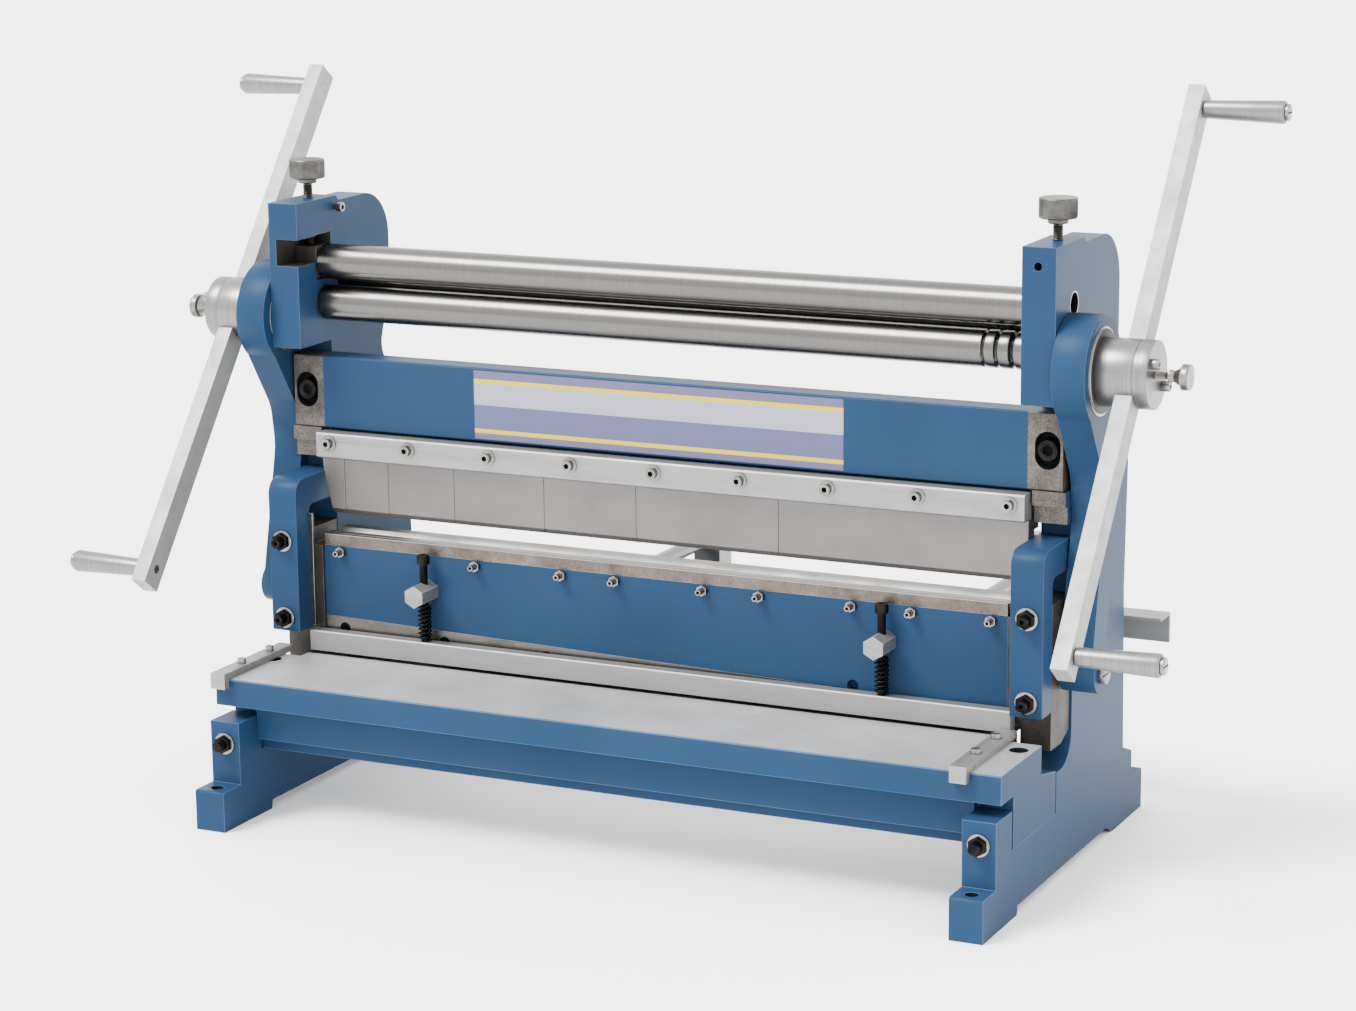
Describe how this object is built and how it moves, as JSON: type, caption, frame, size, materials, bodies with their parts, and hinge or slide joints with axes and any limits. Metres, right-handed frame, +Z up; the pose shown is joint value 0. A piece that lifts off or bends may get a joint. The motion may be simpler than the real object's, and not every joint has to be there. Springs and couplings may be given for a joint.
{
  "type": "press brake",
  "caption": "Bench press brake with shear and slip rolls, its bending beam worked through eccentrics by a long crank bar at each end.",
  "frame": {"origin": "centre of the four foot bolt holes, on the floor plane", "axes": "+X along the beams and rolls to the operator's right, +Y to the back of the machine, +Z up"},
  "size_m": [1.1366, 0.52, 0.7328],
  "materials": {
    "blue_paint": "gloss",
    "ground_steel": "ground",
    "bright_zinc": "plated",
    "grip_aluminium": "satin",
    "black_oxide": "black oxide"
  },
  "bodies": {
    "frame": {"left_side_frame": "blue_paint", "right_side_frame": "blue_paint", "shear_table": "blue_paint", "lower_shear_blade": "ground_steel", "table_bolts": "black_oxide", "side_gauges": "bright_zinc", "side_gauge_screws": "black_oxide", "table_adjusting_screws": "black_oxide", "lock_nuts": "black_oxide", "upper_beam": "blue_paint", "upper_beam_bolts": "black_oxide", "bend_finger_25": "bright_zinc", "bend_finger_50": "bright_zinc", "bend_finger_75": "bright_zinc", "bend_fingers_100": "bright_zinc", "bend_finger_150": "bright_zinc", "bend_finger_250": "bright_zinc", "finger_clamp_bar": "bright_zinc", "clamp_bar_screws": "black_oxide", "front_guides": "blue_paint", "gib_plates": "ground_steel", "guide_set_screws": "black_oxide", "roll_bushes": "ground_steel"},
    "crank_shaft": {"lower_roll": "ground_steel", "eccentrics": "ground_steel", "crank_hubs": "ground_steel", "hub_discs": "ground_steel", "hub_screws": "black_oxide", "crank_bars": "bright_zinc", "grip_bolts": "black_oxide"},
    "arms": {"connecting_arms": "blue_paint", "arm_pin_caps": "ground_steel"},
    "bending_beam": {"lower_beam": "blue_paint", "beam_slides": "ground_steel", "vee_die": "ground_steel", "die_side_plates": "ground_steel", "die_set_screws": "black_oxide", "die_lock_nuts": "black_oxide", "upper_shear_blade": "ground_steel", "blade_screws": "black_oxide", "hold_down_posts": "bright_zinc", "hold_down_springs": "black_oxide", "gauge_rods": "ground_steel"},
    "hold_down": {"hold_down_bar": "bright_zinc", "hold_down_screws": "black_oxide"},
    "back_gauge": {"gauge_blocks": "bright_zinc", "back_gauge_bar": "bright_zinc", "gauge_lock_screws": "bright_zinc"},
    "roll_lift": {"upper_roll_blocks": "bright_zinc"},
    "top_roll": {"upper_roll": "ground_steel"},
    "left_screw": {"left_head_screw": "ground_steel"},
    "right_screw": {"right_head_screw": "ground_steel"},
    "rear_carrier": {"rear_roll_blocks": "bright_zinc", "rear_roll_screws": "black_oxide"},
    "back_roll": {"rear_roll": "ground_steel"},
    "thumbs": {"thumb_screws": "ground_steel"},
    "grip_left_upper": {"left_upper_grip": "grip_aluminium"},
    "grip_left_lower": {"left_lower_grip": "grip_aluminium"},
    "grip_right_upper": {"right_upper_grip": "grip_aluminium"},
    "grip_right_lower": {"right_lower_grip": "grip_aluminium"}
  },
  "joints": [
    {"name": "crank_turn", "type": "hinge", "parent": "frame", "child": "crank_shaft", "pos_m": [0, 0, 0.499], "axis": [1, 0, 0], "range_deg": [-90, 20]},
    {"name": "arm_swing", "type": "hinge", "parent": "crank_shaft", "child": "arms", "pos_m": [0, -0.0125, 0.4875], "axis": [1, 0, 0], "range_deg": [-24, 94]},
    {"name": "beam_slide", "type": "slide", "parent": "frame", "child": "bending_beam", "axis": [0, 0, 1], "range_m": [-0.0053, 0.024]},
    {"name": "hold_down_slide", "type": "slide", "parent": "bending_beam", "child": "hold_down", "axis": [0, 0, 1], "range_m": [-0.016, 0.004], "stiffness_N_per_m": 800, "springref_m": -0.02, "deforming": ["hold_down_springs"]},
    {"name": "back_gauge_slide", "type": "slide", "parent": "bending_beam", "child": "back_gauge", "axis": [0, 1, 0], "range_m": [-0.034, 0.03]},
    {"name": "left_screw_turn", "type": "hinge", "parent": "roll_lift", "child": "left_screw", "pos_m": [-0.3995, 0, 0.6], "axis": [0, 0, 1], "range_deg": [-360, 1440]},
    {"name": "right_screw_turn", "type": "hinge", "parent": "roll_lift", "child": "right_screw", "pos_m": [0.3995, 0, 0.6], "axis": [0, 0, 1], "range_deg": [-360, 1440]},
    {"name": "roll_lift_slide", "type": "slide", "parent": "frame", "child": "roll_lift", "axis": [0, 0, 1], "range_m": [-0.002, 0.008]},
    {"name": "upper_roll_turn", "type": "hinge", "parent": "roll_lift", "child": "top_roll", "pos_m": [0, 0, 0.5405], "axis": [1, 0, 0], "continuous": true},
    {"name": "rear_roll_slide", "type": "slide", "parent": "frame", "child": "rear_carrier", "axis": [0, 1, 0], "range_m": [-0.003, 0.015]},
    {"name": "rear_roll_turn", "type": "hinge", "parent": "rear_carrier", "child": "back_roll", "pos_m": [0, 0.044, 0.517], "axis": [1, 0, 0], "continuous": true},
    {"name": "thumb_screw_turn", "type": "hinge", "parent": "crank_shaft", "child": "thumbs", "pos_m": [0, -0.0125, 0.4875], "axis": [1, 0, 0], "continuous": true},
    {"name": "left_upper_grip_turn", "type": "hinge", "parent": "crank_shaft", "child": "grip_left_upper", "pos_m": [-0.53, 0.15078, 0.69876], "axis": [1, 0, 0], "continuous": true},
    {"name": "left_lower_grip_turn", "type": "hinge", "parent": "crank_shaft", "child": "grip_left_lower", "pos_m": [-0.53, -0.1929, 0.25409], "axis": [1, 0, 0], "continuous": true},
    {"name": "right_upper_grip_turn", "type": "hinge", "parent": "crank_shaft", "child": "grip_right_upper", "pos_m": [0.53, 0.15934, 0.70983], "axis": [1, 0, 0], "continuous": true},
    {"name": "right_lower_grip_turn", "type": "hinge", "parent": "crank_shaft", "child": "grip_right_lower", "pos_m": [0.53, -0.18434, 0.26517], "axis": [1, 0, 0], "continuous": true}
  ],
  "couplings": [
    {"joint": "crank_turn", "follows": "beam_slide", "rad_per_m": -65.359},
    {"joint": "arm_swing", "follows": "beam_slide", "rad_per_m": 65.359},
    {"joint": "hold_down_slide", "follows": "beam_slide", "ratio": -0.6536},
    {"joint": "upper_roll_turn", "follows": "beam_slide", "rad_per_m": 65.359},
    {"joint": "left_screw_turn", "follows": "roll_lift_slide", "rad_per_m": 3141.6},
    {"joint": "right_screw_turn", "follows": "roll_lift_slide", "rad_per_m": 3141.6}
  ]
}
